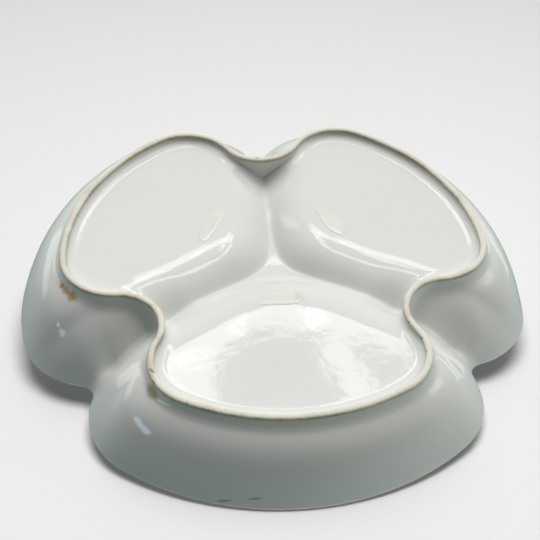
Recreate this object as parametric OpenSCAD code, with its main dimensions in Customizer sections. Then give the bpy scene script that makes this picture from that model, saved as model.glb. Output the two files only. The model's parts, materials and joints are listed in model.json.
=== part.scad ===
// Divided candy dish: three shallow bowls round a crown with a ring handle, on one three-lobed foot.
// It stands upright, as it is used. The origin is on the dish's axis, in the plane that the foot
// stands on, +Z is up and the front bowl points to -Y. All sizes are in millimetres.

/* [Rim] */
// Height of the rim above the table
rim_h = 36; // [30:0.5:44]
// Radius of the rim at the middle of a bowl
rim_r = 124.5; // [120:0.5:134]
// Radius of the rim's rounded shoulders
rim_shoulder_r = 36; // [30:0.5:42]
// Radius at the bottom of a rim notch
rim_notch_r = 7; // [4:0.5:10]
// Distance from the axis to the bottom of a rim notch
rim_notch_reach = 104.5; // [100:0.5:108]
// Thickness of the rim
rim_t = 3; // [2:0.25:4.5]

/* [Foot] */
// Radius of the foot's middle line at the middle of a bowl
foot_r = 101.5; // [96:0.5:106]
// Radius of the foot's rounded shoulders
foot_shoulder_r = 25; // [21:0.5:29]
// Radius at the bottom of a foot notch
foot_notch_r = 20.5; // [16:0.5:25]
// Distance from the axis to the middle line at the bottom of a foot notch
foot_notch_reach = 68; // [62:0.5:74]
// Width of the edge that the dish stands on
foot_w = 3.2; // [2:0.1:5]
// Height of the bare band along that edge
foot_bare_h = 1.2; // [0.8:0.1:2]

/* [Bowls] */
// Height of a floor's underside above the table
floor_z = 4; // [3:0.25:6]
// Thickness of a floor
floor_t = 4; // [3:0.25:6]
// Share of a wall's rise that is a straight slope
wall_lean = 0.28; // [0.2:0.01:0.5]
// Power of the rest of the rise, which steepens to the rim
wall_bow = 3.4; // [2:0.1:4]

/* [Dividers] */
// Rise of the dividers above the floors where they meet
divider_mid_lift = 8.5; // [6:0.25:13.5]
// Rise of a divider at its lowest point
divider_low_lift = 6; // [4:0.25:8]
// Distance from the axis to that lowest point
divider_low_reach = 46; // [40:1:54]
// Rise of a divider where it crosses the foot
divider_foot_lift = 10; // [8:0.25:12]
// Distance from the axis at which a divider starts to run out into the rim
divider_fade_reach = 90; // [84:1:92]
// Width of a divider's slope, from its ridge to the floor
divider_slope_w = 19.5; // [15:0.5:22]
// Rounding of a bowl's inner corner, where two dividers' slopes meet
corner_round = 6; // [3:0.25:8]
// Rounding of the hollow under a divider
hollow_round = 2; // [1:0.25:6]
// Rounding of the ridge on top of a divider
ridge_round = 6; // [4:0.25:9]

/* [Crown and handle] */
// Radius of the crown in the middle
crown_r = 11; // [10.5:0.25:13]
// Height of the crown's flat top above the table
crown_z = 22; // [21.6:0.1:26]
// Radius of the handle's ring, to the middle of its bar
handle_r = 14; // [12:0.25:18]
// Radius of the handle's bar
handle_bar_r = 4; // [3:0.25:5]
// Depth of the flat that the ring is seated on
handle_flat = 3; // [2:0.25:3.5]

/* [Support pads] */
// Radius of the circle that the pads lie on
pad_circle_r = 34.5; // [33:0.5:50]
// Distance of that circle's centre from the axis, away from the front bowl
pad_shift = 6; // [0:0.5:8]
// Length of a pad, across the bowl
pad_l = 24; // [16:0.5:30]
// Width of a pad
pad_w = 9; // [6:0.5:11]
// Height of a pad below the floor
pad_t = 0.8; // [0.4:0.1:1.5]

/* [Hidden] */
$fn = 64;

glaze = [0.82, 0.84, 0.81];
biscuit = [0.80, 0.765, 0.66];
pad_glaze = [0.80, 0.795, 0.755];

// Angles: a lobe is a third of a turn, and each divider takes a narrow sector between two bowls
lobe_turn = 120;
half_lobe = lobe_turn / 2;
divider_half = 12;
bowl_half = half_lobe - divider_half;
front_az = -90;
right_az = front_az + lobe_turn;
left_az = right_az + lobe_turn;

// Steps of the curved surfaces
bowl_steps = 24;
divider_steps = 8;
floor_steps = 9;
wall_steps = 7;
crown_steps = 3;
// Power that draws a floor's rings of points closer to the crown
ring_crowding = 1.3;

// Gap left for the glaze between the curved underside and the foot's wall
seat_gap = 0.1;

function mix(a, b, f) = a + (b - a) * f;
function ease(x) = (1 - cos(180 * min(max(x, 0), 1))) / 2;

// Angle from the middle of the lobe that an azimuth is in, from -60 to 60
function in_lobe(az) = let(a = az - front_az + half_lobe) a - lobe_turn * floor(a / lobe_turn) - half_lobe;

// Radius of a three-lobed outline of tangent arcs: an outer arc, two shoulders and a notch.
// Angles are taken from the notch's own direction.
function outline_r(az, outer, shoulder, notch, reach) =
    let(
        q = half_lobe - abs(in_lobe(az)),
        ds = outer - shoulder,
        dn = reach + notch,
        turn = acos((ds * ds + dn * dn - pow(shoulder + notch, 2)) / (2 * ds * dn)),
        share = shoulder / (shoulder + notch),
        meet = atan2(ds * sin(turn) * (1 - share), mix(ds * cos(turn), dn, share))
    )
    q >= turn ? outer
    : q >= meet ? ds * cos(q - turn) + sqrt(pow(shoulder, 2) - pow(ds * sin(q - turn), 2))
    : dn * cos(q) - sqrt(pow(notch, 2) - pow(dn * sin(q), 2));

// Outlines of the rim and of the foot, moved out by d
function rim_at(az, d = 0) =
    outline_r(az, rim_r + d, rim_shoulder_r + d, rim_notch_r - d, rim_notch_reach + d);
function foot_at(az, d = 0) =
    outline_r(az, foot_r + d, foot_shoulder_r + d, foot_notch_r - d, foot_notch_reach + d);

// Distance from the nearer divider's line, rounded off where the two in a bowl's corner meet
function divider_gap(r, az) =
    let(a = r * sin(half_lobe - in_lobe(az)), b = r * sin(half_lobe + in_lobe(az)))
    max(-corner_round * ln(exp(-a / corner_round) + exp(-b / corner_round)), 0);

// Rise of a divider along its line: it sags between the crown and the foot, then runs into the rim
function divider_lift(r) =
    (r < divider_low_reach
        ? mix(divider_mid_lift, divider_low_lift, ease(r / divider_low_reach))
        : mix(divider_low_lift, divider_foot_lift,
              ease((r - divider_low_reach) / (foot_notch_reach - divider_low_reach))))
    * (1 - ease((r - divider_fade_reach) / (rim_notch_reach - divider_fade_reach)));

// Height of a face of the shell: a floor, the dividers' slopes and a wall between the radii from and to
function face_z(r, az, floor_h, rounding, from, to) =
    let(
        gap = sqrt(pow(divider_gap(r, az), 2) + rounding * rounding) - rounding,
        slope = pow(1 - min(gap / divider_slope_w, 1), 2),
        u = min(max((r - from) / (to - from), 0), 1)
    )
    min(floor_h + divider_lift(r) * slope + (rim_h - floor_h) * mix(pow(u, wall_bow), u, wall_lean), rim_h);

function under_z(r, az) = face_z(r, az, floor_z, hollow_round, foot_at(az, -foot_w / 2), rim_at(az));
function top_z(r, az) =
    face_z(r, az, floor_z + floor_t, ridge_round, foot_at(az, -foot_w / 2), rim_at(az, -rim_t));

function at(r, az, z) = [r * cos(az), r * sin(az), z];
function azimuths(mid, half, steps) = [for (i = [0:steps]) mid + half * (2 * i / steps - 1)];

// Radii of the rings of points from the crown to the foot, over the foot and up the wall
function ring_radii(az, edge) =
    let(inner = foot_at(az, -foot_w / 2), outer = foot_at(az, foot_w / 2))
    concat(
        [for (i = [0:floor_steps]) mix(crown_r, inner, pow(i / floor_steps, ring_crowding))],
        [for (i = [0:wall_steps]) mix(outer, edge, sin(90 * i / wall_steps))]
    );
function under_line(az) = [for (r = ring_radii(az, rim_at(az))) at(r, az, under_z(r, az))];
function top_line(az) = [for (r = ring_radii(az, rim_at(az, -rim_t))) at(r, az, top_z(r, az))];

// A tube of rings of points, closed into a loop of sections when loop is true and capped when not
module skin_over(sections, loop = false) {
    n = len(sections);
    m = len(sections[0]);
    last = loop ? n - 1 : n - 2;
    sides = [
        for (i = [0:last], j = [0:m - 1])
            let(
                here = i * m,
                next = ((i + 1) % n) * m,
                k = (j + 1) % m,
                a = here + j,
                b = here + k,
                c = next + k,
                d = next + j
            )
            each [[a, b, c], [a, c, d]]
    ];
    caps = loop ? [] : concat(strip_cap(0, m), [for (f = strip_cap((n - 1) * m, m)) [f[2], f[1], f[0]]]);
    polyhedron([for (s = sections) each s], concat(sides, caps));
}

// Triangles that close a section whose first half runs out below and second half runs back above
function strip_cap(start, m) = [
    for (j = [0:m / 2 - 2])
        let(a = start + j, b = start + j + 1, c = start + m - 2 - j, d = start + m - 1 - j)
        each [[c, b, a], [d, c, a]]
];

function reversed(points) = [for (i = [len(points) - 1:-1:0]) points[i]];

// One sector of the shell
module shell_sector(mid, half, steps) {
    skin_over([for (az = azimuths(mid, half, steps)) concat(under_line(az), reversed(top_line(az)))]);
}

module bowl(mid) {
    color(glaze) shell_sector(mid, bowl_half, bowl_steps);
}

module divider(mid) {
    color(glaze) shell_sector(mid, divider_half, divider_steps);
}

// Azimuths of all sections round the dish, without the repeat at the end of each sector
all_az = [
    for (mid = [front_az, right_az, left_az])
        each concat(
            [for (i = [0:bowl_steps - 1]) azimuths(mid, bowl_half, bowl_steps)[i]],
            [for (i = [0:divider_steps - 1]) azimuths(mid + half_lobe, divider_half, divider_steps)[i]]
        )
];

// The crown closes the shell in the middle, and its flat top carries the handle
module crown() {
    n = len(all_az);
    rings = [for (k = [1:crown_steps]) crown_r * k / crown_steps];
    tip = [0, 0, floor_z + divider_mid_lift];
    below = [for (r = rings, az = all_az) at(r, az, under_z(r, az))];
    above = [for (az = all_az) at(crown_r, az, crown_z)];
    top = 1 + crown_steps * n;
    faces = concat(
        [for (i = [0:n - 1]) [0, 1 + i, 1 + (i + 1) % n]],
        [for (k = [0:crown_steps - 1], i = [0:n - 1])
            let(a = 1 + k * n + i, b = 1 + k * n + (i + 1) % n)
            each [[a, a + n, b + n], [a, b + n, b]]],
        [[for (i = [n - 1:-1:0]) top + i]]
    );
    color(glaze) polyhedron(concat([tip], below, above), faces);
}

// A plain ring on edge, cut flat where it is joined to the crown
module handle_ring() {
    reach = handle_r + handle_bar_r;
    mid_z = crown_z + reach - handle_flat;
    color(glaze) difference() {
        translate([0, 0, mid_z])
            rotate([90, 0, 0])
                rotate_extrude()
                    translate([handle_r, 0])
                        circle(r = handle_bar_r);
        translate([-reach, -reach, crown_z - 2 * reach])
            cube(2 * reach);
    }
}

// The bare edge that the dish stands on
module foot_ring() {
    color(biscuit) linear_extrude(foot_bare_h) difference() {
        polygon([for (az = all_az) foot_at(az, foot_w / 2) * [cos(az), sin(az)]]);
        polygon([for (az = all_az) foot_at(az, -foot_w / 2) * [cos(az), sin(az)]]);
    }
}

// The glazed wall between that edge and the shell, tall where it crosses a divider's hollow
module foot_wall() {
    faces_r = function (az) [foot_at(az, -foot_w / 2), foot_at(az, foot_w / 2)];
    color(glaze) skin_over(
        [for (az = all_az)
            concat(
                [for (r = faces_r(az)) at(r, az, foot_bare_h)],
                [for (r = reversed(faces_r(az))) at(r, az, under_z(r, az) - seat_gap)]
            )],
        loop = true
    );
}

// An oval pad under a floor, on which the dish stood in the kiln
module support_pad(mid) {
    color(pad_glaze) translate([0, pad_shift, floor_z - pad_t])
        rotate([0, 0, mid])
            translate([pad_circle_r, 0, 0])
                linear_extrude(pad_t) {
                    square([pad_w, pad_l - pad_w], center = true);
                    for (side = [-1, 1])
                        translate([0, side * (pad_l - pad_w) / 2])
                            circle(d = pad_w);
                }
}

bowl(front_az);  // bowl_front
bowl(left_az);  // bowl_left
bowl(right_az);  // bowl_right
divider(right_az + half_lobe);  // divider_back
divider(left_az + half_lobe);  // divider_left
divider(front_az + half_lobe);  // divider_right
crown();
handle_ring();
foot_ring();
foot_wall();
support_pad(front_az);  // support_pad_front
support_pad(left_az);  // support_pad_left
support_pad(right_az);  // support_pad_right
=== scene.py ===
import json
import math

import bpy
import numpy as np
from bpy.props import FloatProperty, FloatVectorProperty, PointerProperty
from mathutils import Matrix, Vector

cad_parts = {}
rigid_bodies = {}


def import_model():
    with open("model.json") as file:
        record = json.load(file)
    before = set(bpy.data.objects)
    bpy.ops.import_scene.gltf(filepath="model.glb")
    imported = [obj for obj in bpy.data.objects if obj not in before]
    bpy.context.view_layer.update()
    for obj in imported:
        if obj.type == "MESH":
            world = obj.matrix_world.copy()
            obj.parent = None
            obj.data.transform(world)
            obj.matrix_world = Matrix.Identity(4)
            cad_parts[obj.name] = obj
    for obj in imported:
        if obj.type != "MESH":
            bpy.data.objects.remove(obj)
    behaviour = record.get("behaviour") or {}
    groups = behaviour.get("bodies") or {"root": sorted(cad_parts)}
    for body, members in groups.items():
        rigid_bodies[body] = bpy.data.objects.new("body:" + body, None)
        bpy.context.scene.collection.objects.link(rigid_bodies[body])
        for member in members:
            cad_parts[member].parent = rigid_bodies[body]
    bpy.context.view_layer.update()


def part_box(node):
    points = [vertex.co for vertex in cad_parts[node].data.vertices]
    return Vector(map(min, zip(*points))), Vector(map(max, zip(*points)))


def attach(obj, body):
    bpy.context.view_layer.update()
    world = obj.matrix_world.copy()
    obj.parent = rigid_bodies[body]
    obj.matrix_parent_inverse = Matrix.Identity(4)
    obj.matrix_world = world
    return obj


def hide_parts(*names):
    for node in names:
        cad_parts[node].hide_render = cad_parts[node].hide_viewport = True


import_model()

bl_info = {
    "name": "Divided Candy Dish",
    "version": (1, 0, 0),
    "blender": (4, 5, 0),
    "location": "3D View > Sidebar > Dish",
    "description": "A three-lobed porcelain dish with a ring handle, and a pale stage to show it on",
    "category": "Add Mesh",
}

BODY = "root"
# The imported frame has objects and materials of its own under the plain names
PIECE_NAME = "porcelain_"
FINISH_NAME = "finished_"

# Angles, in degrees: a lobe is a third of a turn, and a divider takes a narrow sector between two bowls
LOBE_TURN = 120
HALF_LOBE = LOBE_TURN / 2
DIVIDER_HALF = 12
BOWL_HALF = HALF_LOBE - DIVIDER_HALF
FRONT, RIGHT, LEFT = -90, 30, 150
SECTORS = ("bowl_front", "divider_right", "bowl_right", "divider_back", "bowl_left", "divider_left")
BOWLS, DIVIDERS = SECTORS[::2], SECTORS[1::2]
PADS = {"support_pad_front": FRONT, "support_pad_right": RIGHT, "support_pad_left": LEFT}

# Steps of the meshes: for each kind of sector its half angle, its steps and how they crowd to the middle
SECTOR_STEPS = {"bowl": (BOWL_HALF, 96, 1.0), "divider": (DIVIDER_HALF, 56, 1.5)}
# Steps along the section, for each kind of stretch
UNDER_STEPS = {"hub": 16, "floor_under": 52, "fillet": 14, "foot_wall": 4, "foot_edge": 18, "cove": 10}
SECTION_STEPS = UNDER_STEPS | {"wall_under": 44, "lip": 16, "floor_top": 96}
# Steps round the handle, round its bar and round a pad
HANDLE_STEPS = 160
BAR_STEPS = 56
PAD_STEPS = 72

# Powers that shape rounded edges: below 1 the middle is flatter than a half circle
EDGE_SOFTNESS = 0.8
LIP_SOFTNESS = 0.75
PAD_ROUNDNESS = 0.84

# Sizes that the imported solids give, in metres
FRONT_LOW, FRONT_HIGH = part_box("bowl_front")
FOOT_LOW, FOOT_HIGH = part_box("foot_ring")
CROWN_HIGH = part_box("crown")[1]
HANDLE_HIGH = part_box("handle_ring")[1]
PAD_LOW, PAD_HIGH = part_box("support_pad_front")


def length(name, description, default):
    return FloatProperty(name=name, description=description, default=default, unit="LENGTH", precision=5)


def share(name, description, default):
    return FloatProperty(name=name, description=description, default=default, subtype="FACTOR")


def level(name, description, default):
    """A brightness, where 1 is white, or a power"""
    return FloatProperty(name=name, description=description, default=default, subtype="UNSIGNED")


def angle(name, description, degrees):
    default = math.radians(degrees)
    return FloatProperty(name=name, description=description, default=default, subtype="ANGLE")


def colour(name, description, default):
    return FloatVectorProperty(
        name=name, description=description, default=default, size=3, subtype="COLOR", min=0, max=1
    )


def place(name, description, default):
    return FloatVectorProperty(
        name=name, description=description, default=default, size=3, subtype="TRANSLATION"
    )


class DishSizes(bpy.types.PropertyGroup):
    """Sizes of the porcelain"""

    rim_h: length("Rim height", "Height of the rim above the table", FRONT_HIGH.z)
    rim_r: length("Rim radius", "Radius of the rim at the middle of a bowl", -FRONT_LOW.y)
    rim_shoulder_r: length("Rim shoulder", "Radius of the rim's rounded shoulders", 0.036)
    rim_notch_r: length("Rim notch", "Radius at the bottom of a rim notch", 0.007)
    rim_notch_reach: length("Rim notch reach", "From the axis to the bottom of a rim notch", 0.1045)
    wall_notch_r: length("Wall notch", "Radius of the same notch low on the walls", 0.016)
    rim_t: length("Rim thickness", "Thickness of the rim", 0.003)
    lip_h: length("Lip height", "Height of the rounded lip on the rim", 0.0008)
    lip_flare: length("Lip flare", "How far the walls lean past the rim's outline below the lip", 0.0001)
    foot_w: length("Foot width", "Width of the edge that the dish stands on", 0.0032)
    foot_shoulder_r: length("Foot shoulder", "Radius of the foot's rounded shoulders", 0.025)
    foot_notch_r: length("Foot notch", "Radius at the bottom of a foot notch", 0.0205)
    foot_notch_reach: length("Foot notch reach", "From the axis to the bottom of a foot notch", 0.068)
    foot_fillet_w: length("Foot fillet width", "Width of the fillet inside the foot", 0.0062)
    foot_fillet_h: length("Foot fillet height", "Height of the fillet inside the foot", 0.0025)
    foot_cove_r: length("Foot cove", "Radius of the cove outside the foot", 0.0037)
    floor_z: length("Floor underside", "Height of a floor's underside above the table", PAD_HIGH.z)
    floor_t: length("Floor thickness", "Thickness of a floor", 0.004)
    wall_lean: share("Wall lean", "Share of a wall's rise that is a straight slope", 0.28)
    wall_bow: level("Wall bow", "Power of the rest of a wall's rise", 3.4)
    divider_mid_lift: length("Divider middle", "Rise of the dividers where they meet", 0.0085)
    divider_low_lift: length("Divider low", "Rise of a divider at its lowest point", 0.006)
    divider_low_reach: length("Divider low reach", "From the axis to that lowest point", 0.046)
    divider_foot_lift: length("Divider at foot", "Rise of a divider where it crosses the foot", 0.010)
    divider_fade_reach: length("Divider fade", "Where a divider starts to run out into the rim", 0.090)
    divider_slope_w: length("Divider slope", "From a divider's ridge to the floor", 0.026)
    divider_slope_bow: level("Divider bow", "Power of that slope", 3.0)
    corner_round: length("Corner rounding", "Rounding of a bowl's inner corner", 0.006)
    hollow_round: length("Hollow rounding", "Rounding of the hollow under a divider", 0.002)
    ridge_round: length("Ridge rounding", "Rounding of the ridge on a divider", 0.006)
    crown_blend: length("Crown blend", "Reach of the fillet round the crown", 0.004)
    handle_bar_r: length("Handle bar", "Radius of the handle's bar", HANDLE_HIGH.y)
    handle_fillet_r: length("Handle fillet", "Radius of the fillet between handle and crown", 0.003)
    pad_l: length("Pad length", "Length of a pad, across the bowl", PAD_HIGH.x - PAD_LOW.x)
    pad_w: length("Pad width", "Width of a pad", PAD_HIGH.y - PAD_LOW.y)
    pad_t: length("Pad height", "Height of a pad below the floor", 0.0002)
    pad_edge: length("Pad edge", "Width of a pad's rounded edge", 0.003)


class DishFinish(bpy.types.PropertyGroup):
    """Colours of the porcelain"""

    glaze: colour("Glaze", "White glaze", (0.82, 0.835, 0.805))
    glaze_pool: colour("Glaze pool", "Glaze where it lies thick", (0.74, 0.775, 0.75))
    biscuit: colour("Biscuit", "Bare porcelain of the foot's edge", (0.90, 0.875, 0.775))
    # This tan and the dark colour below it also paint shade on the rounded sides of the foot's edge
    biscuit_stain: colour("Biscuit stain", "Tan stain in the bare porcelain", (0.52, 0.43, 0.24))
    dirt: colour("Dirt", "Dark dirt along the foot's edge", (0.17, 0.13, 0.08))
    pad: colour("Pad", "Thin glaze on the pads", (0.81, 0.815, 0.78))
    rust: colour("Rust", "Orange stain beside the foot", (0.70, 0.25, 0.07))
    ochre: colour("Ochre", "Yellow end of that stain", (0.56, 0.37, 0.11))
    olive: colour("Olive", "Olive stain beside the foot", (0.40, 0.39, 0.24))
    smudge: colour("Smudge", "Grey rub marks by the rim", (0.26, 0.27, 0.24))


class DishStage(bpy.types.PropertyGroup):
    """Camera, floors and lamps"""

    lens: FloatProperty(
        name="Lens", description="Focal length on a 36 mm sensor", default=84.4, unit="CAMERA"
    )
    elevation: angle("Elevation", "How far below the foot's plane the camera stands", 44.85)
    turn: angle("Turn", "Turn of the dish about its axis, as the camera sees it", 7.17)
    roll: angle("Roll", "Roll of the camera", 2.32)
    camera_at: place("Camera", "Place of the camera", (0.0570, -0.4341, -0.4214))
    floor_size: length("Floor size", "Side of a floor", 12.0)
    floor_gap: length("Floor gap", "Gap under the front rim of the inverted dish", 0.0009)
    table: colour("Table", "Floor under the upright dish, before its sun", (0.15,) * 3)
    floor_light: level("Floor light", "Brightness of the sun over that floor alone", 4.8)
    floor_softness: angle("Floor softness", "Angle that this sun takes in the sky", 110)
    inverted_table: colour("Inverted table", "Floor under the inverted dish, before its lamp", (0.3,) * 3)
    table_light: level("Table light", "Brightness of the lamp over that floor alone", 24.0)
    backdrop: colour("Backdrop", "What the camera sees past the floors", (0.8,) * 3)
    dome: colour("Dome", "Soft light from above the upright dish", (0.25, 0.35, 0.335))
    back_tint: colour("Back tint", "Soft light from behind the inverted dish", (1.0, 0.995, 0.97))
    back_light: level("Back light", "Brightness of that light", 2.2)
    side_tint: colour("Side tint", "Soft light from the inverted dish's right", (1.0, 0.99, 0.91))
    side_light: level("Side light", "Brightness of that light", 0.76)
    shade: colour("Shade", "What the floor sees of the inverted bowls", (0.42, 0.445, 0.45))


def mix(a, b, f):
    return a + (b - a) * f


def ease(x):
    """From 0 to 1 along half a wave"""
    return (1 - np.cos(math.pi * np.clip(x, 0, 1))) / 2


def ramp(steps):
    """A row of numbers from 0 to 1"""
    return np.linspace(0, 1, steps + 1)[None, :]


def quarter(steps):
    """A row of angles over a quarter of a turn"""
    return ramp(steps) * math.pi / 2


def smooth_max(a, b, reach):
    """The larger of two heights, with a fillet where they are close"""
    near = np.clip(reach - np.abs(a - b), 0, None) / reach
    return np.maximum(a, b) + near * near * reach / 4


def soft_power(x, power):
    """A power that keeps the sign"""
    return np.sign(x) * np.abs(x) ** power


class Porcelain:
    """The dish's surfaces as formulas, in metres, with azimuths in degrees"""

    # The boss: the power of its rounded form, and its reach as a share of the crown's
    BOSS_POWER = 4
    BOSS_SPREAD = 1.14
    # How often a stretch is halved to find where a wall reaches a height
    HALVINGS = 40

    def __init__(self, sizes):
        self.s = sizes
        self.foot_r = -FOOT_LOW.y - sizes.foot_w / 2
        self.bare_h = FOOT_HIGH.z
        self.crown_r = CROWN_HIGH.x
        self.crown_z = CROWN_HIGH.z

    def in_lobe(self, az):
        """Angle from the middle of the lobe that an azimuth is in"""
        return np.mod(az - FRONT + HALF_LOBE, LOBE_TURN) - HALF_LOBE

    def outline(self, az, d, outer, shoulder, notch, reach):
        """Radius of an outline of tangent arcs, moved out by d: an outer arc, two shoulders and a notch"""
        outer, shoulder, notch, reach = outer + d, shoulder + d, notch - d, reach + d
        q = np.radians(HALF_LOBE - np.abs(self.in_lobe(az)))
        ds = outer - shoulder
        dn = reach + notch
        turn = np.arccos((ds**2 + dn**2 - (shoulder + notch) ** 2) / (2 * ds * dn))
        part = shoulder / (shoulder + notch)
        meet = np.arctan2(ds * np.sin(turn) * (1 - part), mix(ds * np.cos(turn), dn, part))
        on_shoulder = ds * np.cos(q - turn) + np.sqrt(
            np.clip(shoulder**2 - (ds * np.sin(q - turn)) ** 2, 0, None)
        )
        on_notch = dn * np.cos(q) - np.sqrt(np.clip(notch**2 - (dn * np.sin(q)) ** 2, 0, None))
        return np.where(q >= turn, outer, np.where(q >= meet, on_shoulder, on_notch))

    def rim(self, az, d=0.0):
        s = self.s
        return self.outline(az, d, s.rim_r, s.rim_shoulder_r, s.rim_notch_r, s.rim_notch_reach)

    def wall_end(self, r, az, d):
        """Radius that a wall rises to: the rim's outline, with softer notches lower on the wall"""
        s = self.s
        soft = self.outline(az, d, s.rim_r, s.rim_shoulder_r, s.wall_notch_r, s.rim_notch_reach)
        rim, start = self.rim(az, d), self.foot(az, -s.foot_w / 2)
        up = np.clip((r - start) / (rim - start), 0, 1)
        return mix(soft, rim, up**2)

    def foot(self, az, d=0.0):
        s = self.s
        return self.outline(az, d, self.foot_r, s.foot_shoulder_r, s.foot_notch_r, s.foot_notch_reach)

    def divider_gap(self, r, az):
        """Distance from the nearer divider's line, rounded off in a bowl's inner corner"""
        k = self.s.corner_round
        t = self.in_lobe(az)
        a = r * np.sin(np.radians(HALF_LOBE - t))
        b = r * np.sin(np.radians(HALF_LOBE + t))
        return np.maximum(-k * np.log(np.exp(-a / k) + np.exp(-b / k)), 0)

    def divider_lift(self, r):
        """Rise of a divider along its line"""
        s = self.s
        near = mix(s.divider_mid_lift, s.divider_low_lift, ease(r / s.divider_low_reach))
        past = (r - s.divider_low_reach) / (s.foot_notch_reach - s.divider_low_reach)
        far = mix(s.divider_low_lift, s.divider_foot_lift, ease(past))
        fade = (r - s.divider_fade_reach) / (s.rim_notch_reach - s.divider_fade_reach)
        return np.where(r < s.divider_low_reach, near, far) * (1 - ease(fade))

    def face(self, r, az, floor_h, rounding, start, end):
        """Height of a face: a floor, the dividers' slopes and a wall between two radii"""
        s = self.s
        gap = np.sqrt(self.divider_gap(r, az) ** 2 + rounding**2) - rounding
        slope = (1 - np.minimum(gap / s.divider_slope_w, 1)) ** s.divider_slope_bow
        u = np.clip((r - start) / (end - start), 0, 1)
        rise = mix(u**s.wall_bow, u, s.wall_lean)
        height = floor_h + self.divider_lift(r) * slope + (s.rim_h - floor_h) * rise
        return np.minimum(height, s.rim_h)

    def under(self, r, az):
        s = self.s
        start, end = self.foot(az, -s.foot_w / 2), self.wall_end(r, az, s.lip_flare)
        return self.face(r, az, s.floor_z, s.hollow_round, start, end)

    def boss(self, r):
        """Height of the rounded boss that carries the handle"""
        s = self.s
        base = s.floor_z + s.floor_t
        part = np.clip(1 - (r / (self.crown_r * self.BOSS_SPREAD)) ** self.BOSS_POWER, 0, None)
        return base + (self.crown_z - base) * part ** (1 / self.BOSS_POWER)

    def top(self, r, az):
        s = self.s
        start, end = self.foot(az, -s.foot_w / 2), self.wall_end(r, az, -s.rim_t)
        shell = self.face(r, az, s.floor_z + s.floor_t, s.ridge_round, start, end)
        return smooth_max(shell, self.boss(r), s.crown_blend)

    def radius_at(self, height, face, low, high, az):
        """Radius at which a wall's face reaches a height, by halving"""
        for _ in range(self.HALVINGS):
            middle = (low + high) / 2
            above = face(middle, az) > height
            low, high = np.where(above, low, middle), np.where(above, middle, high)
        return (low + high) / 2

    def stretches(self, az):
        """Radii and heights along the section at each azimuth of a column, as named stretches in order: out
        under the crown and the floor, down and up the foot, up the wall, over the lip, and back in"""
        s = self.s
        half = s.foot_w / 2
        fillet_w, fillet_h, cove = s.foot_fillet_w, s.foot_fillet_h, s.foot_cove_r
        lip_z = s.rim_h - s.lip_h
        steps = SECTION_STEPS

        hub = self.crown_r * ramp(steps["hub"])[:, 1:]
        yield "hub_under", hub, self.under(hub, az)
        r = mix(self.crown_r, self.foot(az, -half - fillet_w), ramp(steps["floor_under"]))
        yield "floor_under", r, self.under(r, az)
        turn = quarter(steps["fillet"])
        r = self.foot(az, -half - fillet_w * (1 - np.sin(turn)))
        yield "fillet", r, self.under(r, az) - fillet_h * (1 - np.cos(turn))
        inner = self.foot(az, -half)
        onward = ramp(steps["foot_wall"])
        yield "inner_wall", inner, mix(self.under(inner, az) - fillet_h, self.bare_h, onward)

        turn = 2 * quarter(steps["foot_edge"])
        across = half * soft_power(np.cos(turn), EDGE_SOFTNESS)
        down = np.abs(np.sin(turn)) ** EDGE_SOFTNESS
        yield "foot_edge", self.foot(az, -across), self.bare_h * (1 - down)
        outer = self.foot(az, half)
        yield "outer_wall", outer, mix(self.bare_h, self.under(outer, az) - cove, onward)
        turn = quarter(steps["cove"])
        r = self.foot(az, half + cove * (1 - np.cos(turn)))
        yield "cove", r, self.under(r, az) - cove * (1 - np.sin(turn))

        start = self.foot(az, half + cove)
        outside = self.radius_at(lip_z, self.under, start, self.rim(az), az)
        inside = self.radius_at(lip_z, self.top, start, self.rim(az, -s.rim_t), az)
        r = mix(start, outside, np.sin(quarter(steps["wall_under"])))
        yield "wall_under", r, self.under(r, az)
        turn = 2 * quarter(steps["lip"])
        crest = self.rim(az, -s.rim_t / 2)
        reach = np.where(np.cos(turn) > 0, outside - crest, crest - inside)
        across = reach * soft_power(np.cos(turn), LIP_SOFTNESS)
        yield "lip", crest + across, lip_z + s.lip_h * np.abs(np.sin(turn)) ** LIP_SOFTNESS
        r = mix(inside, self.crown_r, 1 - np.cos(quarter(steps["floor_top"])))
        yield "floor_top", r, self.top(r, az)
        hub = self.crown_r * (1 - ramp(steps["hub"])[:, :-1])
        yield "hub_top", hub, self.top(hub, az)


def sector(middle, half, steps, crowding):
    """Azimuths across a sector without its last one, closer at its middle when crowding is over 1"""
    return middle + half * soft_power(np.linspace(-1, 1, steps + 1)[:-1], crowding)


def tangents(points, axis, closed):
    """Directions along a grid's rows or columns, which allow for uneven steps"""
    back = points - np.roll(points, 1, axis)
    onward = np.roll(points, -1, axis) - points
    if not closed:
        first, last = [slice(None)] * 3, [slice(None)] * 3
        first[axis], last[axis] = 0, -1
        back[tuple(first)] = onward[tuple(first)]
        onward[tuple(last)] = back[tuple(last)]
    back_step = np.linalg.norm(back, axis=-1, keepdims=True)
    onward_step = np.linalg.norm(onward, axis=-1, keepdims=True)
    return onward * (back_step / onward_step) + back * (onward_step / back_step)


def normals_of(points, closed_rows=False, closed_columns=False):
    """Unit normals of a grid of points"""
    normal = np.cross(tangents(points, 0, closed_rows), tangents(points, 1, closed_columns))
    return normal / np.linalg.norm(normal, axis=-1, keepdims=True)


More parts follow.
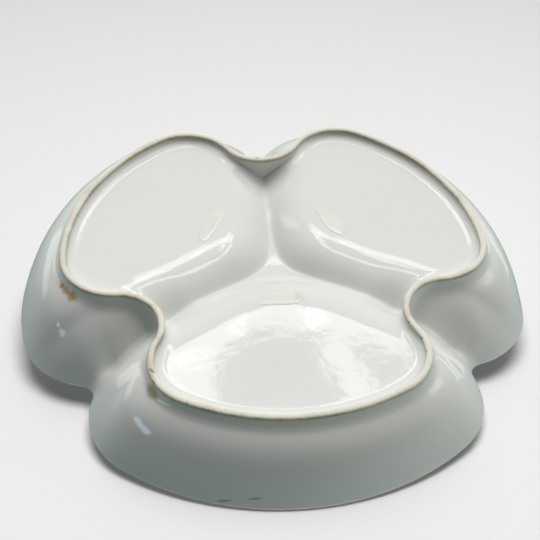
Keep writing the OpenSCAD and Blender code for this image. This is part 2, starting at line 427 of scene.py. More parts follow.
class Shell:
    """One grid of points over the whole dish, which the pieces are cut from: rows go round the axis,
    and columns go along the section"""

    def __init__(self, sizes):
        az, self.rows = [], {}
        for number, name in enumerate(SECTORS):
            half, steps, crowding = SECTOR_STEPS[name.split("_")[0]]
            start = sum(len(part) for part in az)
            self.rows[name] = np.arange(start, start + steps + 1)
            az.append(sector(FRONT + number * HALF_LOBE, half, steps, crowding))
        az = np.concatenate(az)[:, None]
        self.rows["all"] = np.arange(len(az))

        radii, heights, self.columns = [], [], {}
        count = 0
        for name, r, z in Porcelain(sizes).stretches(az):
            r, z, _ = np.broadcast_arrays(r, z, az)
            shared = 1 if count else 0
            radii.append(r[:, shared:])
            heights.append(z[:, shared:])
            end = count + r.shape[1] - shared
            self.columns[name] = np.arange(count - shared, end)
            count = end
        r, z = np.concatenate(radii, 1), np.concatenate(heights, 1)
        turn = np.radians(az)
        self.points = np.stack([r * np.cos(turn), r * np.sin(turn), z], -1)
        self.normals = normals_of(self.points, closed_rows=True)

    def cut(self, rows, first, last=None):
        """Points and normals of a sector, over one stretch of the section or from one to another"""
        rows = self.rows[rows] % len(self.points)
        columns = np.arange(self.columns[first][0], self.columns[last or first][-1] + 1)
        return self.points[rows][:, columns], self.normals[rows][:, columns]


class Patchwork:
    """Grids of points that make one closed mesh, with smooth normals that run on across its edges"""

    def __init__(self):
        self.points, self.normals, self.faces, self.smooth = [], [], [], []
        self.count = 0

    def vertices(self, points, normals):
        """Add points with their normals. Their numbers come back"""
        points, normals = np.asarray(points), np.asarray(normals)
        shape = points.shape[:-1]
        index = self.count + np.arange(points.size // 3).reshape(shape)
        self.points.append(points.reshape(-1, 3))
        self.normals.append(normals.reshape(-1, 3))
        self.count += points.size // 3
        return index

    def grid(self, points, normals, closed_rows=False, closed_columns=False):
        """Smooth faces over a grid. Its points' numbers come back, with the closing row and column"""
        lines = self.vertices(points, normals)
        if closed_rows:
            lines = np.concatenate([lines, lines[:1]], 0)
        if closed_columns:
            lines = np.concatenate([lines, lines[:, :1]], 1)
        for first, second in zip(lines.T[:-1], lines.T[1:]):
            self.strip(first, second, True)
        return lines

    def strip(self, first, second, smooth=False):
        """Faces between two lines of points"""
        self.add(np.stack([first[:-1], first[1:], second[1:], second[:-1]], -1).tolist(), smooth)

    def fan(self, line, point, normal):
        """Smooth faces from a closed line of points to a middle point"""
        middle = self.vertices(np.array([point]), np.array([normal]))[0]
        self.add([[int(a), int(b), int(middle)] for a, b in zip(line[:-1], line[1:])], True)

    def add(self, faces, smooth=False):
        self.faces += faces
        self.smooth += [smooth] * len(faces)

    def build(self, context, name, slot):
        """The mesh as a piece that stands for the CAD node of the same name"""
        points, normals = np.concatenate(self.points), np.concatenate(self.normals)
        mesh = bpy.data.meshes.new(PIECE_NAME + name)
        mesh.from_pydata(points.tolist(), [], self.faces)
        if mesh.validate():
            raise RuntimeError(f"{name} has faces that Blender had to mend")
        mesh.polygons.foreach_set("use_smooth", self.smooth)
        corner = np.zeros(len(mesh.loops), np.int32)
        mesh.loops.foreach_get("vertex_index", corner)
        corners_smooth = np.repeat(self.smooth, [len(face) for face in self.faces])
        mesh.normals_split_custom_set((normals[corner] * corners_smooth[:, None]).tolist())
        mesh.materials.append(finish(context, slot))
        piece = bpy.data.objects.new(PIECE_NAME + name, mesh)
        bpy.context.scene.collection.objects.link(piece)
        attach(piece, BODY)
        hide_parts(name)


class Socket:
    """An output of a node, with Python's operators for numbers"""

    def __init__(self, finish, output):
        self.finish, self.output = finish, output

    def __add__(self, other):
        return self.finish.math("ADD", self, other)

    def __radd__(self, other):
        return self.finish.math("ADD", other, self)

    def __sub__(self, other):
        return self.finish.math("SUBTRACT", self, other)

    def __rsub__(self, other):
        return self.finish.math("SUBTRACT", other, self)

    def __mul__(self, other):
        return self.finish.math("MULTIPLY", self, other)

    def __rmul__(self, other):
        return self.finish.math("MULTIPLY", other, self)

    def __pow__(self, other):
        return self.finish.math("POWER", self, other)

    def __rpow__(self, other):
        return self.finish.math("POWER", other, self)


class Finish:
    """The nodes of a material or of the world"""

    # Shares of a stain's reach: its taper, its raggedness, where it ends and where it has its full strength
    STAIN_TAPER = 0.6
    STAIN_RAGGED = 0.8
    STAIN_END = 1.4
    STAIN_FULL = 0.3

    def __init__(self, owner):
        owner.use_nodes = True
        self.owner = owner
        self.tree = owner.node_tree
        self.tree.nodes.clear()

    def node(self, kind, settings=None, inputs=None, output=0):
        """A node with its settings, then its sockets' values or links. One of its outputs comes back"""
        node = self.tree.nodes.new(kind)
        for key, value in (settings or {}).items():
            setattr(node, key, value)
        for key, value in (inputs or {}).items():
            if isinstance(value, Socket):
                self.tree.links.new(value.output, node.inputs[key])
            else:
                socket = node.inputs[key]
                flat = tuple(value) if hasattr(value, "__len__") else value
                if socket.type == "RGBA" and len(flat) == 3:
                    flat = flat + (1.0,)
                socket.default_value = flat
        return Socket(self, node.outputs[output]) if len(node.outputs) else node

    def math(self, operation, a, b):
        return self.node("ShaderNodeMath", {"operation": operation}, {0: a, 1: b})

    def between(self, value, low, high, strength=1.0):
        """0 below low, the strength above high, eased between them; low may be the larger"""
        settings = {"interpolation_type": "SMOOTHSTEP"}
        inputs = {"Value": value, "From Min": low, "From Max": high, "To Max": strength}
        return self.node("ShaderNodeMapRange", settings, inputs)

    def blend(self, factor, a, b):
        """A colour between two"""
        settings = {"data_type": "RGBA", "clamp_factor": True}
        return self.node("ShaderNodeMix", settings, {0: factor, 6: a, 7: b}, 2)

    def noise(self, at, scale, detail=2.0, rough=0.5):
        """Soft noise, with a scale in lumps to the metre"""
        inputs = {"Vector": at, "Scale": scale, "Detail": detail, "Roughness": rough}
        return self.node("ShaderNodeTexNoise", {}, inputs)

    def marks(self, at, scale, low, high, detail=2.0, rough=0.5, strength=1.0):
        """A mask of the peaks of soft noise"""
        return self.between(self.noise(at, scale, detail, rough), low, high, strength)

    def vector(self, operation, a, b, output=0):
        return self.node("ShaderNodeVectorMath", {"operation": operation}, {0: a, 1: b}, output)

    def scaled(self, vector, factor):
        """A colour or a vector times a number"""
        return self.node("ShaderNodeVectorMath", {"operation": "SCALE"}, {0: vector, "Scale": factor})

    def from_stroke(self, at, start, end, taper):
        """Distance from a straight stroke between two points, with a taper added towards both ends"""
        stroke = Vector(end) - Vector(start)
        offset = self.vector("SUBTRACT", at, start)
        along = self.vector("DOT_PRODUCT", offset, stroke / stroke.length_squared, 1)
        along = self.math("MINIMUM", self.math("MAXIMUM", along, 0.0), 1.0)
        across = self.vector("DISTANCE", offset, self.scaled(stroke, along), 1)
        from_middle = along * 2 - 1
        return across + from_middle * from_middle * taper

    def stained(self, tint, at, ragged, stains, colours):
        """A colour with stains on it, whose edges are ragged by a noise"""
        for name, start, end, reach, strength in stains:
            away = self.from_stroke(at, start, end, self.STAIN_TAPER * reach)
            away = away + (ragged - 0.5) * (self.STAIN_RAGGED * reach)
            mask = self.between(away, self.STAIN_END * reach, self.STAIN_FULL * reach, strength)
            tint = self.blend(mask, tint, getattr(colours, name))
        return tint

    def fired(self, tint, roughness, height, unit, strength=1.0, ior=1.5):
        """Fired porcelain in a colour and a roughness, with a height in a unit of metres as its bump"""
        inputs = {"Strength": strength, "Distance": unit, "Height": height}
        bump = self.node("ShaderNodeBump", {}, inputs, "Normal")
        inputs = {"Base Color": tint, "Roughness": roughness, "IOR": ior, "Normal": bump}
        return self.surface(self.node("ShaderNodeBsdfPrincipled", {}, inputs))

    def surface(self, shader):
        on_piece = isinstance(self.owner, bpy.types.Material)
        kind = "ShaderNodeOutputMaterial" if on_piece else "ShaderNodeOutputWorld"
        self.node(kind, {}, {"Surface": shader})
        return self.owner


def new_finish(name):
    return Finish(bpy.data.materials.new(name))


# Stains: colour, the ends of the stroke, its reach to each side in metres, and its strength
GLAZE_STAINS = (
    ("ochre", (0.1012, -0.0132, 0.0056), (0.0992, -0.0166, 0.0057), 0.0021, 0.75),
    ("ochre", (0.0988, -0.0175, 0.0060), (0.0958, -0.0205, 0.0061), 0.0029, 0.85),
    ("rust", (0.1021, -0.0108, 0.0053), (0.1016, -0.0130, 0.0057), 0.0017, 0.9),
    ("olive", (0.0633, -0.0768, 0.0045), (0.0600, -0.0832, 0.0050), 0.0032, 0.85),
    ("smudge", (0.0365, -0.1187, 0.0342), (0.0301, -0.1199, 0.0324), 0.0007, 0.75),
    ("smudge", (0.0229, -0.1209, 0.0308), (0.0174, -0.1216, 0.0299), 0.0006, 0.75),
)
BISCUIT_STAINS = (
    ("dirt", (0.0038, 0.0689, 0.0004), (0.0016, 0.0689, 0.0004), 0.0009, 0.8),
    ("biscuit_stain", (0.0640, -0.0600, 0.0), (0.0610, -0.0790, 0.0), 0.0020, 0.45),
    ("dirt", (0.0626, -0.0705, 0.0004), (0.0606, -0.0735, 0.0), 0.0008, 0.75),
    ("dirt", (0.0618, -0.0775, 0.0006), (0.0608, -0.0795, 0.0006), 0.0008, 0.7),
    ("dirt", (-0.0555, -0.0504, 0.0005), (-0.0560, -0.0520, 0.0004), 0.0005, 0.7),
    ("dirt", (-0.0596, -0.0604, 0.0004), (-0.0601, -0.0620, 0.0004), 0.0006, 0.8),
    ("dirt", (-0.0605, -0.0687, 0.0004), (-0.0606, -0.0694, 0.0004), 0.0005, 0.7),
    ("ochre", (0.0478, -0.0905, 0.0008), (0.0463, -0.0912, 0.0008), 0.0012, 0.7),
)
PAD_STAINS = (("ochre", (-0.0070, -0.0268, 0.0040), (-0.0094, -0.0281, 0.0042), 0.0030, 0.22),)

# Lumps to the metre of the noise that makes edges ragged
RAGGED_SCALE = 600.0
# Units of the heights in the finishes, in metres: the waves of the glazes, and the grain of the biscuit
WAVE_UNIT = 0.001
GRAIN_UNIT = 0.0001


def glaze_finish(colours):
    """White glaze: slightly wavy and uneven, with a pooled tint, a brown line at the foot and old stains"""
    f = new_finish(FINISH_NAME + "glaze")
    at = f.node("ShaderNodeTexCoord", output="Object")
    height = f.node("ShaderNodeSeparateXYZ", {}, {"Vector": at}, "Z")
    ragged = f.noise(at, RAGGED_SCALE)

    pooled = f.marks(at, scale=14.0, low=0.35, high=0.7, detail=3.0, strength=0.35)
    tint = f.blend(pooled, colours.glaze, colours.glaze_pool)
    line_end, line_full, line_ragged = 0.0024, 0.0012, 0.0016
    line = f.between(height + (ragged - 0.5) * line_ragged, line_end, line_full, strength=0.55)
    tint = f.blend(line, tint, colours.biscuit_stain)
    pinholes = f.marks(at, scale=800.0, low=0.83, high=0.87, detail=0.0, strength=0.12)
    tint = f.blend(pinholes, tint, colours.dirt)
    tint = f.stained(tint, at, ragged, GLAZE_STAINS, colours)

    slow, quick = f.noise(at, scale=60.0, detail=1.0), f.noise(at, scale=170.0, detail=3.0)
    slow_h, quick_h, ragged_h = 0.032, 0.046, 0.007
    wave = slow * slow_h + quick * quick_h + ragged * ragged_h
    roughness = 0.05 + f.marks(at, scale=420.0, low=0.55, high=0.8, detail=3.0, strength=0.04)
    return f.fired(tint, roughness, wave, WAVE_UNIT)


def biscuit_finish(colours):
    """Bare porcelain of the foot's edge: sandy and tan in patches, and tan and patchily darker towards both
    of its sides, partly real staining and soiling, partly painted shade of its rounded sides
    """
    f = new_finish(FINISH_NAME + "biscuit")
    at = f.node("ShaderNodeTexCoord", output="Object")
    height = f.node("ShaderNodeSeparateXYZ", {}, {"Vector": at}, "Z")
    ragged = f.noise(at, RAGGED_SCALE)
    patches = f.marks(at, scale=55.0, low=0.4, high=0.7, detail=4.0, rough=0.6)
    edge_start, edge_full, edge_ragged, edge_patchy = 0.0002, 0.0009, 0.0008, 0.0003
    uneven = height + (ragged - 0.5) * edge_ragged + patches * edge_patchy
    edge = f.between(uneven, edge_start, edge_full)
    specks = f.marks(at, scale=1100.0, low=0.66, high=0.74, strength=0.35)

    # Painted shade: the edge mask paints both rounded sides of the foot's edge tan and patchily darker, on
    # top of the real staining and soiling there
    stain = patches * 0.25 + edge * 0.5
    tint = f.blend(stain, colours.biscuit, colours.biscuit_stain)
    dirt = edge * patches * 0.4 + specks
    tint = f.blend(dirt, tint, colours.dirt)
    tint = f.stained(tint, at, ragged, BISCUIT_STAINS, colours)
    roughness = 0.55 + patches * 0.1
    grain = f.noise(at, scale=2200.0, detail=3.0, rough=0.6)
    return f.fired(tint, roughness, grain, GRAIN_UNIT, strength=0.6, ior=1.45)


def pad_finish(colours):
    """Thin glaze on the pads: faintly beige, less even than the rest, with sandy specks"""
    f = new_finish(FINISH_NAME + "pad_glaze")
    at = f.node("ShaderNodeTexCoord", output="Object")
    patches = f.marks(at, scale=160.0, low=0.4, high=0.7, detail=3.0)
    specks = f.marks(at, scale=1500.0, low=0.62, high=0.75)
    beige, sandy = patches * 0.55, specks * 0.12
    tint = f.blend(beige, colours.pad, colours.biscuit)
    tint = f.blend(sandy, tint, colours.biscuit_stain)
    tint = f.stained(tint, at, patches, PAD_STAINS, colours)
    wave_h, speck_h = 0.05, 0.004
    wave = f.noise(at, scale=220.0) * wave_h + specks * speck_h
    roughness = 0.12 + patches * 0.15
    return f.fired(tint, roughness, wave, WAVE_UNIT)


FINISHES = {"glaze": glaze_finish, "biscuit": biscuit_finish, "pad_glaze": pad_finish}


def finish(context, slot):
    """The finish of a slot, made when it is first asked for"""
    return bpy.data.materials.get(FINISH_NAME + slot) or FINISHES[slot](context.scene.dish_finish)


def cut_piece(context, name):
    """A bowl or a divider, cut from the shell with plane sides"""
    shell = Shell(context.scene.dish_sizes)
    work = Patchwork()
    under = work.grid(*shell.cut(name, "floor_under", "fillet"))
    over = work.grid(*shell.cut(name, "cove", "floor_top"))
    work.strip(under[:, -1], over[:, 0])
    work.strip(over[:, -1], under[:, 0])
    work.add([under[0].tolist() + over[0].tolist()])
    work.add([(under[-1].tolist() + over[-1].tolist())[::-1]])
    work.build(context, name, "glaze")


class DISH_OT_bowls(bpy.types.Operator):
    """Make the three bowls"""

    bl_idname = "dish.bowls"
    bl_label = "Bowls"

    def execute(self, context):
        for name in BOWLS:
            cut_piece(context, name)
        return {"FINISHED"}


class DISH_OT_dividers(bpy.types.Operator):
    """Make the three dividers between the bowls"""

    bl_idname = "dish.dividers"
    bl_label = "Dividers"

    def execute(self, context):
        for name in DIVIDERS:
            cut_piece(context, name)
        return {"FINISHED"}


class DISH_OT_crown(bpy.types.Operator):
    """Make the crown where the dividers meet"""

    bl_idname = "dish.crown"
    bl_label = "Crown"

    def execute(self, context):
        shape = Porcelain(context.scene.dish_sizes)
        shell = Shell(context.scene.dish_sizes)
        work = Patchwork()
        under = work.grid(*shell.cut("all", "hub_under"), closed_rows=True)
        over = work.grid(*shell.cut("all", "hub_top"), closed_rows=True)
        work.strip(under[:, -1], over[:, 0])
        axis = np.zeros(1)
        low, high = shape.under(axis, axis)[0], shape.top(axis, axis)[0]
        work.fan(under[::-1, 0], (0, 0, low), (0, 0, -1))
        work.fan(over[:, -1], (0, 0, high), (0, 0, 1))
        work.build(context, "crown", "glaze")
        return {"FINISHED"}


class DISH_OT_handle(bpy.types.Operator):
    """Make the ring handle, with a fillet where it is luted to the crown"""

    bl_idname = "dish.handle"
    bl_label = "Handle"

    # Keeps a direction without length from a division by zero
    LEAST_LENGTH = 1e-3

    def execute(self, context):
        sizes = context.scene.dish_sizes
        shape = Porcelain(sizes)
        bar, fillet = sizes.handle_bar_r, sizes.handle_fillet_r
        ring = HANDLE_HIGH.x - bar
        middle_z = HANDLE_HIGH.z - HANDLE_HIGH.x
        around = np.linspace(0, 2 * math.pi, HANDLE_STEPS, endpoint=False)[:, None]
        across = np.linspace(0, 2 * math.pi, BAR_STEPS, endpoint=False)[None, :]
        out = ring + bar * np.cos(across)
        x, y = out * np.cos(around), 0 * around + bar * np.sin(across)
        z = middle_z + out * np.sin(around)
        flat = np.stack([np.cos(across) * np.cos(around), 0 * around + np.sin(across)])
        flat = flat / np.maximum(np.linalg.norm(flat, axis=0), self.LEAST_LENGTH)
        rise = np.clip(z - shape.boss(np.hypot(x, y)), 0, fillet)
        spread = fillet - np.sqrt(fillet**2 - (fillet - rise) ** 2)
        spread = spread * (np.sin(around) < 0)
        points = np.stack([x + spread * flat[0], y + spread * flat[1], z], -1)
        work = Patchwork()
        normals = normals_of(points, closed_rows=True, closed_columns=True)
        work.grid(points, normals, closed_rows=True, closed_columns=True)
        work.build(context, "handle_ring", "glaze")
        return {"FINISHED"}


class DISH_OT_foot_wall(bpy.types.Operator):
    """Make the glazed wall of the foot"""

    bl_idname = "dish.foot_wall"
    bl_label = "Foot Wall"

    def execute(self, context):
        shell = Shell(context.scene.dish_sizes)
        work = Patchwork()
        inner = work.grid(*shell.cut("all", "inner_wall"), closed_rows=True)
        outer = work.grid(*shell.cut("all", "outer_wall"), closed_rows=True)
        work.strip(inner[:, -1], outer[:, 0])
        work.strip(outer[:, -1], inner[:, 0])
        work.build(context, "foot_wall", "glaze")
        return {"FINISHED"}


class DISH_OT_foot_ring(bpy.types.Operator):
    """Make the bare edge that the dish stands on"""

    bl_idname = "dish.foot_ring"
    bl_label = "Foot Ring"

    def execute(self, context):
        shell = Shell(context.scene.dish_sizes)
        work = Patchwork()
        edge = work.grid(*shell.cut("all", "foot_edge"), closed_rows=True)
        work.strip(edge[:, -1], edge[:, 0])
        work.build(context, "foot_ring", "biscuit")
        return {"FINISHED"}


class DISH_OT_pads(bpy.types.Operator):
    """Make the three oval pads under the floors"""

    bl_idname = "dish.pads"
    bl_label = "Pads"

    # How far a pad's edge is sunk in the floor, in metres, and its middle's depth as a share of its height
    SUNK = 0.0004
    DISHED = 0.15
    # Shares of a pad's size: its outline before the waves, and the innermost ring of its mesh
    OUTLINE = 0.95
    INNERMOST = 0.06
    EDGE_STEPS = 8
    FLAT_STEPS = 10
    # Waves of a pad's outline: how many, how deep and where they start
    WAVES = ((2, 0.10, 0.6), (3, 0.07, 2.0), (5, 0.025, 0.5))

    def execute(self, context):
        for name, az in PADS.items():
            self.pad(context, name, math.radians(az))
        return {"FINISHED"}

    def pad(self, context, name, az):
        """One pad, which follows the floor that it is on"""
        s = context.scene.dish_sizes
        shape = Porcelain(s)
        low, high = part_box(name)
        middle = (low + high) / 2
        turn = np.linspace(0, 2 * math.pi, PAD_STEPS, endpoint=False)[:, None]
        waves = (deep * np.sin(many * turn + start + az) for many, deep, start in self.WAVES)
        size = self.OUTLINE + sum(waves)
        edge = s.pad_edge / (s.pad_w / 2)
        bend = quarter(self.EDGE_STEPS)
        flat = np.linspace(1 - edge, self.INNERMOST, self.FLAT_STEPS)[None, 1:]
        part = np.concatenate([[[1.0]], 1 - edge * (1 - np.cos(bend)), flat], 1)
        depth = np.concatenate([[[-self.SUNK / s.pad_t]], np.sin(bend), 0 * flat + 1], 1)
        depth = depth - self.DISHED * np.clip(1 - (part / (1 - edge)) ** 2, 0, None)
        along = part * size * soft_power(np.cos(turn), PAD_ROUNDNESS) * s.pad_l / 2
        across = part * size * soft_power(np.sin(turn), PAD_ROUNDNESS) * s.pad_w / 2

        def on_floor(along, across, depth):
            x = middle.x - along * math.sin(az) + across * math.cos(az)
            y = middle.y + along * math.cos(az) + across * math.sin(az)
            z = shape.under(np.hypot(x, y), np.degrees(np.arctan2(y, x))) - depth * s.pad_t
            return np.stack([x, y, z], -1)

        points = on_floor(along, across, depth)
        work = Patchwork()
        lines = work.grid(points, normals_of(points, closed_rows=True), closed_rows=True)
        centre = on_floor(np.zeros(1), np.zeros(1), np.array([1 - self.DISHED]))[0]
        work.fan(lines[:, -1], centre, (0, 0, -1))
        work.add([lines[:-1, 0][::-1].tolist()])
        work.build(context, name, "pad_glaze")


WHITE = (1, 1, 1)
# Lamps for the underside, as the picture shows it: the directions of both ends (azimuth from the right,
# elevation), width in degrees, and brightness where 1 is white. The bars make one bright frame
BARS = {
    "bar_low": ((94, 47.7), (85, 47.6), 3.2, 4.0),
    "bar_left_low": ((93, 47.7), (100.5, 49.4), 5.0, 4.0),
    "bar_left": ((97.6, 50.6), (98.6, 54.2), 3.6, 4.0),
    "bar_left_high": ((98.5, 54), (101, 60), 2.0, 4.0),
    "bar_right_low": ((86, 46.6), (76, 48), 4.2, 4.0),
    "bar_right_inner": ((84.3, 49.7), (79, 53.2), 1.8, 4.0),
    "bar_right": ((75, 49.5), (66, 60), 2.0, 4.0),
    "bar_high": ((65, 61), (102, 61), 3.5, 4.0),
    "side_box": ((131, 5), (163, 13), 14.0, 1.6),
    "back_box": ((135, 33), (117, 45), 3.5, 1.6),
    "right_box": ((54, 3), (40, -16), 9.0, 0.9),
    "right_high_box": ((28, 28), (8, 40), 8.0, 1.8),
}
BAR_DISTANCE = 1.5
# Panes of a blue window, with the same values, and the one bowl that each pane shows on
PANE_TINT = (0.56, 0.80, 1.0)
PANES = {
    "pane_front": ((-166, 20.5), (-143, 12.5), 6.5, 4.4),
    "pane_right": ((-151, 21.5), (-142.5, 22), 5.0, 3.8),
}
PANE_BOWLS = {"pane_front": "bowl_front", "pane_right": "bowl_right"}
# Soft lights of the world for the same side: azimuth, elevation, and the power of the fall to the sides
BACK_GLOW = (90, 50, 3.0)
SIDE_GLOW = (-12, 8, 7.0)
# The dome: where it fades in and where it is dimmed again, as heights of which 1 is overhead, and how much
DOME_EDGE = (-0.15, 0.15)
DOME_TOP = (0.75, 0.95)
DOME_TOP_DIMMING = 0.7
# Lamps for the upright dish: place from its middle, side and brightness
UPRIGHT_LAMPS = (
    ("upright_key", (-0.5, -0.35, 1.3), 1.35, 2.1),
    ("upright_fill", (0.35, 0.25, 1.4), 1.35, 1.2),
)
UPRIGHT_TINT = (1.0, 0.87, 0.89)
# The lamp over the floor of the inverted dish: azimuth and elevation, distance and sides
TABLE_LAMP = (80, 85)
TABLE_LAMP_DISTANCE = 1.0
TABLE_LAMP_SIZE = (0.62, 0.5)
DISH_MIDDLE = Vector((0, 0, 0.02))
CAMERA_CLIP = (0.01, 100)
# The upright floor lies this far below the foot, in metres
FLOOR_DROP = 1e-4
# Degrees between the corners of the sheet over the bowls
MOUTH_STEP = 2


def seen(stage, vector):
    """A vector of the picture's table (right, back, up) in the frame of the dish, upside down there"""
    upside_down = Matrix.Diagonal((-1, 1, -1))
    return upside_down @ Matrix.Rotation(-stage.turn, 3, "Z") @ Vector(vector)


def towards(stage, az, el):
    """Direction to a point of the picture's surroundings, in the dish's frame"""
    az, el = math.radians(az), math.radians(el)
    return seen(stage, (math.cos(el) * math.cos(az), math.cos(el) * math.sin(az), math.sin(el)))


def add_object(name, data):
    thing = bpy.data.objects.new(name, data)
    bpy.context.scene.collection.objects.link(thing)
    return thing


def add_camera(stage):
    data = bpy.data.cameras.new("camera")
    data.lens = stage.lens
    data.clip_start, data.clip_end = CAMERA_CLIP
    camera = add_object("camera", data)
    tilt, roll = stage.elevation, stage.roll
    right, up = Vector((1, 0, 0)), Vector((0, math.sin(tilt), math.cos(tilt)))
    back = Vector((0, -math.cos(tilt), math.sin(tilt)))
    across = math.cos(roll) * right + math.sin(roll) * up
    upward = math.cos(roll) * up - math.sin(roll) * right
    turn = Matrix([seen(stage, axis) for axis in (across, upward, back)]).transposed()
    camera.matrix_world = Matrix.Translation(stage.camera_at) @ turn.to_4x4()
    bpy.context.scene.camera = camera


def add_lamp(name, at, along, width, height, brightness, tint=WHITE):
    """A lamp that faces the dish, with its width along a direction"""
    data = bpy.data.lights.new(name, "AREA")
    data.shape = "RECTANGLE"
    data.size, data.size_y = width, height
    data.energy = math.pi * width * height * brightness
    data.color = tint
    lamp = add_object(name, data)
    back = at.normalized()
    upward = back.cross(along).normalized()
    turn = Matrix((upward.cross(back), upward, back)).transposed()
    lamp.matrix_world = Matrix.Translation(DISH_MIDDLE + at) @ turn.to_4x4()
    lamp.visible_camera = False
    return lamp


def only_on(lamp, thing):
    """Keep a lamp's light to one object"""
    lit = bpy.data.collections.new(lamp.name)
    lit.objects.link(thing)
    lamp.light_linking.receiver_collection = lit


def one_sided(name, front=None, back=None):
    """A material for a sheet that is clear on one side: a matt colour in front, or an even glow behind"""
    f = new_finish(name)
    behind = f.node("ShaderNodeNewGeometry", output="Backfacing")
    clear = f.node("ShaderNodeBsdfTransparent")
    matt = f.node("ShaderNodeBsdfDiffuse", {}, {"Color": front}) if front else clear
    glow = f.node("ShaderNodeEmission", {}, {"Color": back}) if back else clear
    return f.surface(f.node("ShaderNodeMixShader", {}, {0: behind, 1: matt, 2: glow}))


def add_sheet(name, points, material, rays):
    """A flat stage sheet that only the named kinds of rays meet"""
    mesh = bpy.data.meshes.new(name)
    mesh.from_pydata([tuple(p) for p in points], [], [list(range(len(points)))])
    mesh.materials.append(material)
    sheet = add_object(name, mesh)
    for kind in ("camera", "diffuse", "glossy", "transmission", "shadow"):
        setattr(sheet, "visible_" + kind, kind in rays)
    return sheet


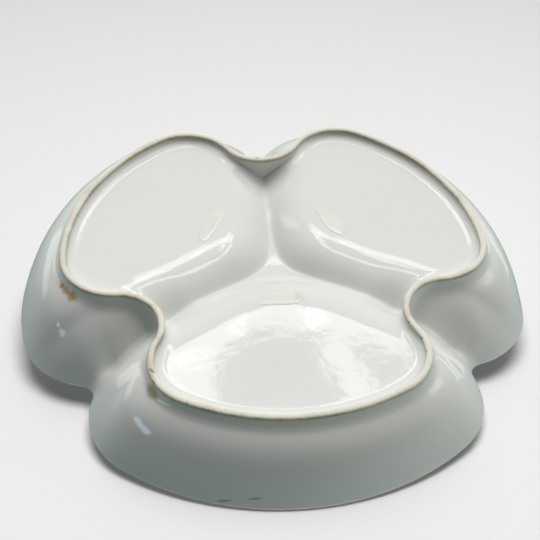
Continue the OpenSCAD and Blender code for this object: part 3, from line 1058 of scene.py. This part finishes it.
class DISH_OT_stage(bpy.types.Operator):
    """Set the camera, the floors, the lamps and the world"""

    bl_idname = "dish.stage"
    bl_label = "Stage"

    def execute(self, context):
        stage = context.scene.dish_stage
        sizes = context.scene.dish_sizes
        context.scene.view_settings.view_transform = "Standard"
        add_camera(stage)
        self.floors(stage, sizes)
        self.lamps(stage)
        self.world(stage)
        return {"FINISHED"}

    def floors(self, stage, sizes):
        half = stage.floor_size / 2
        corners = [(-half, -half), (half, -half), (half, half), (-half, half)]
        upright = one_sided("pale_floor", front=stage.table)
        under_foot = [(x, y, -FLOOR_DROP) for x, y in corners]
        floor = add_sheet("floor_upright", under_foot, upright, ("camera",))
        sun = bpy.data.lights.new("floor_sun", "SUN")
        sun.energy = math.pi * stage.floor_light
        sun.angle = stage.floor_softness
        only_on(add_object("floor_sun", sun), floor)

        # Upside down, the dish rests on the handle's top, and its front rim all but touches the floor
        slope = (HANDLE_HIGH.z - sizes.rim_h - stage.floor_gap) / sizes.rim_r
        tilted = [(x, y, HANDLE_HIGH.z + slope * y) for x, y in reversed(corners)]
        inverted = one_sided("inverted_floor", front=stage.inverted_table)
        floor = add_sheet("floor_inverted", tilted, inverted, ("camera",))
        at = TABLE_LAMP_DISTANCE * towards(stage, *TABLE_LAMP)
        side = seen(stage, (1, 0, 0))
        lamp = add_lamp("table_lamp", at, side, *TABLE_LAMP_SIZE, stage.table_light)
        only_on(lamp, floor)

        # The floor under the inverted dish meets this sheet in place of the lit bowls, and stays dark
        az = np.arange(360, 0, -MOUTH_STEP)
        r = Porcelain(sizes).rim(az, -sizes.rim_t / 2)
        x, y = r * np.cos(np.radians(az)), r * np.sin(np.radians(az))
        mouth = [(a, b, sizes.rim_h - sizes.lip_h) for a, b in zip(x.tolist(), y.tolist())]
        add_sheet("mouth_shade", mouth, one_sided("shade", back=stage.shade), ("diffuse",))

    def lamps(self, stage):
        for name, (start, end, degrees, brightness) in (BARS | PANES).items():
            start, end = (BAR_DISTANCE * towards(stage, *direction) for direction in (start, end))
            width = BAR_DISTANCE * math.radians(degrees)
            along = end - start
            tint = PANE_TINT if name in PANES else WHITE
            lamp = add_lamp(name, (start + end) / 2, along, along.length, width, brightness, tint)
            if name in PANES:
                only_on(lamp, bpy.data.objects[PIECE_NAME + PANE_BOWLS[name]])
                lamp.visible_diffuse = False
        for name, at, size, brightness in UPRIGHT_LAMPS:
            add_lamp(name, Vector(at), Vector((1, 0, 0)), size, size, brightness, UPRIGHT_TINT)

    def world(self, stage):
        world = bpy.data.worlds.new("world")
        bpy.context.scene.world = world
        f = Finish(world)
        direction = f.node("ShaderNodeTexCoord", output="Generated")
        height = f.node("ShaderNodeSeparateXYZ", {}, {"Vector": direction}, "Z")
        rising, overhead = f.between(height, *DOME_EDGE), f.between(height, *DOME_TOP)
        light = f.scaled(stage.dome, rising - overhead * DOME_TOP_DIMMING)
        glows = (
            (BACK_GLOW, stage.back_tint, stage.back_light),
            (SIDE_GLOW, stage.side_tint, stage.side_light),
        )
        for (az, el, power), tint, brightness in glows:
            axis = tuple(towards(stage, az, el))
            along = f.vector("DOT_PRODUCT", direction, axis, 1)
            glow = f.scaled(tint, f.math("MAXIMUM", along, 0.0) ** power * brightness)
            light = f.vector("ADD", light, glow)
        by_camera = f.node("ShaderNodeLightPath", output="Is Camera Ray")
        seen_light = f.blend(by_camera, light, stage.backdrop)
        f.surface(f.node("ShaderNodeBackground", {}, {"Color": seen_light}))


class DISH_PT_panel(bpy.types.Panel):
    """Buttons for the dish's pieces and its stage"""

    bl_idname = "DISH_PT_panel"
    bl_label = "Divided Candy Dish"
    bl_space_type = "VIEW_3D"
    bl_region_type = "UI"
    bl_category = "Dish"

    def draw(self, context):
        for operator in OPERATORS:
            self.layout.operator(operator.bl_idname)
        for group in (context.scene.dish_sizes, context.scene.dish_finish, context.scene.dish_stage):
            box = self.layout.box()
            for key in group.__annotations__:
                box.prop(group, key)


OPERATORS = (
    DISH_OT_bowls,
    DISH_OT_dividers,
    DISH_OT_crown,
    DISH_OT_handle,
    DISH_OT_foot_wall,
    DISH_OT_foot_ring,
    DISH_OT_pads,
    DISH_OT_stage,
)
GROUPS = {"dish_sizes": DishSizes, "dish_finish": DishFinish, "dish_stage": DishStage}
CLASSES = tuple(GROUPS.values()) + OPERATORS + (DISH_PT_panel,)


def register():
    for item in CLASSES:
        bpy.utils.register_class(item)
    for name, group in GROUPS.items():
        setattr(bpy.types.Scene, name, PointerProperty(type=group))


def unregister():
    for name in GROUPS:
        delattr(bpy.types.Scene, name)
    for item in reversed(CLASSES):
        bpy.utils.unregister_class(item)


def main():
    register()
    bpy.ops.dish.bowls()
    bpy.ops.dish.dividers()
    bpy.ops.dish.crown()
    bpy.ops.dish.handle()
    bpy.ops.dish.foot_wall()
    bpy.ops.dish.foot_ring()
    bpy.ops.dish.pads()
    bpy.ops.dish.stage()


if __name__ == "__main__":
    main()
